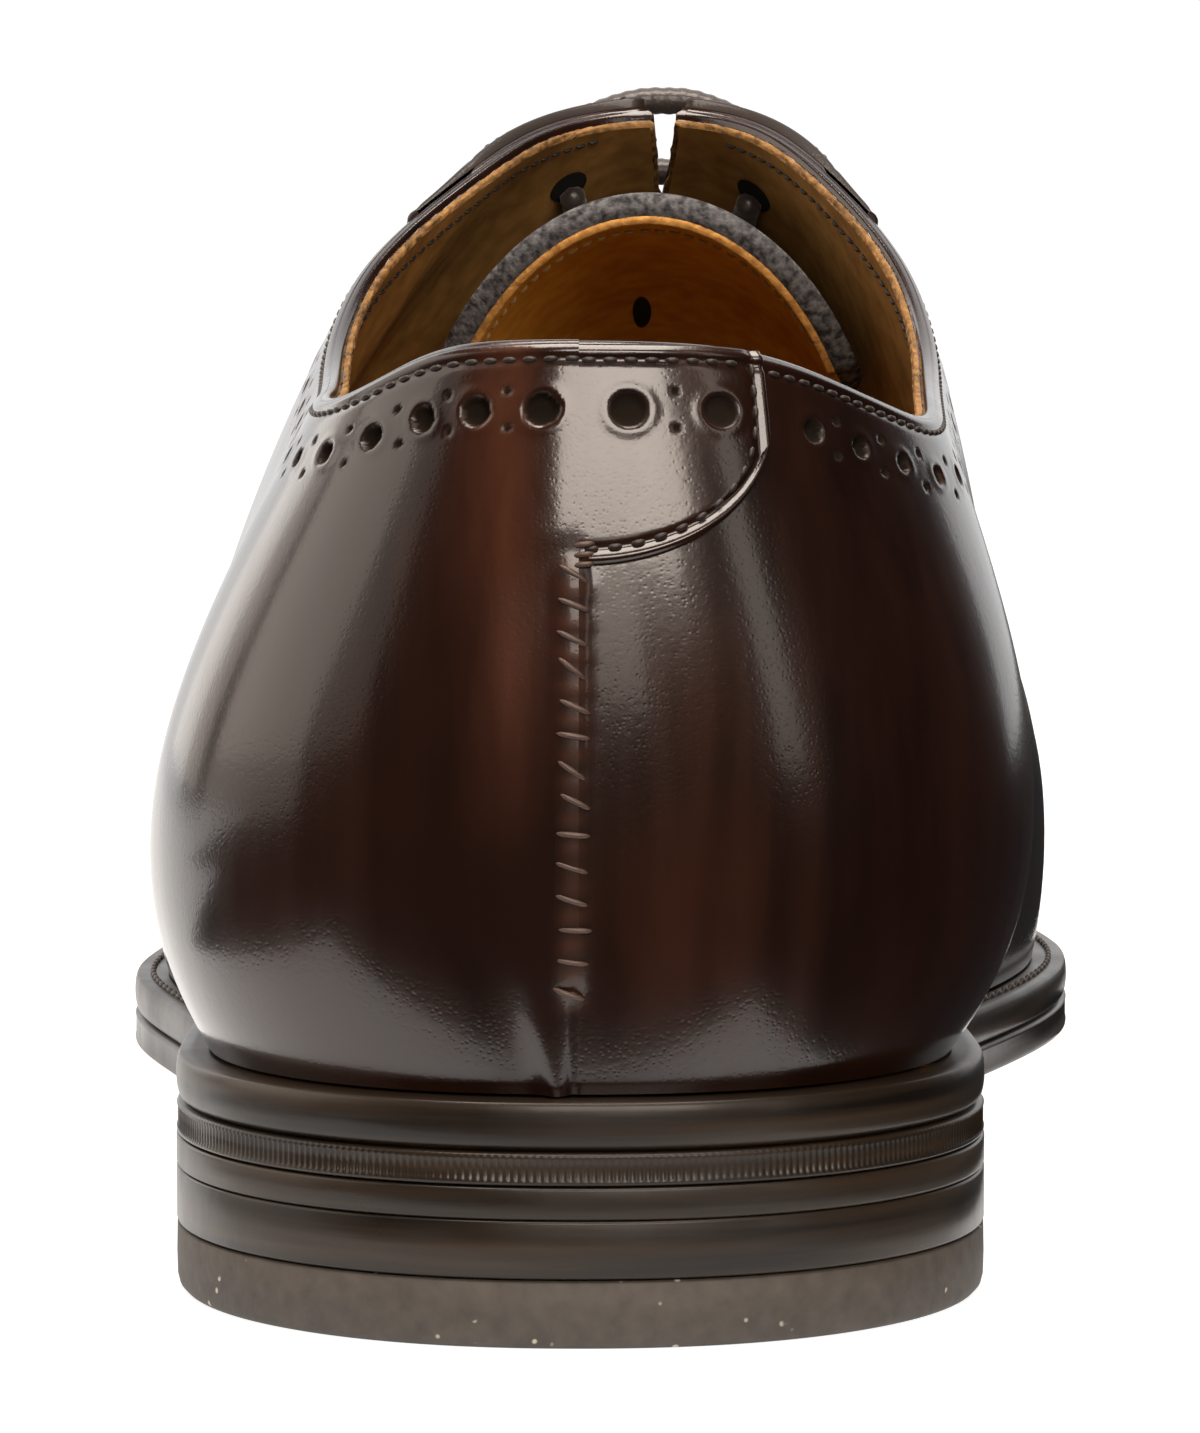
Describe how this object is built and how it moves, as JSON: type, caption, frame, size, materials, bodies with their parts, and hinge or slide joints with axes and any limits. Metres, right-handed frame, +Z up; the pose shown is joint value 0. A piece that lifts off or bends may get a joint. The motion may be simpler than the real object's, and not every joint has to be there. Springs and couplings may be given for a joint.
{
  "type": "oxford shoe",
  "caption": "Left laced oxford shoe with hollow leather upper, laid-over eyestay, lapped heel tab, tongue, welted leather sole and stacked heel.",
  "frame": {"origin": "on the floor under the middle of the shoe's bounding box", "axes": "+Y from heel to toe, +X to the medial side, +Z up"},
  "size_m": [0.1036, 0.3, 0.1027],
  "materials": {
    "upper_leather": "polished dark brown",
    "tongue_leather": "soft, lined in tan",
    "insole_leather": "natural tan",
    "sole_leather": "inked and waxed edge",
    "heel_rubber": "matt",
    "lace_cord": "waxed braid"
  },
  "bodies": {
    "root": {"upper": "upper_leather", "eyestay": "upper_leather", "heel_tab": "upper_leather", "tongue": "tongue_leather", "insole": "insole_leather", "welt": "sole_leather", "outsole": "sole_leather", "heel_lift_upper": "sole_leather", "heel_lift_lower": "sole_leather", "heel_top_piece": "heel_rubber", "lace_bar_1": "lace_cord", "lace_bar_2": "lace_cord", "lace_bar_3": "lace_cord", "lace_bar_4": "lace_cord", "lace_bar_5": "lace_cord"}
  },
  "joints": []
}
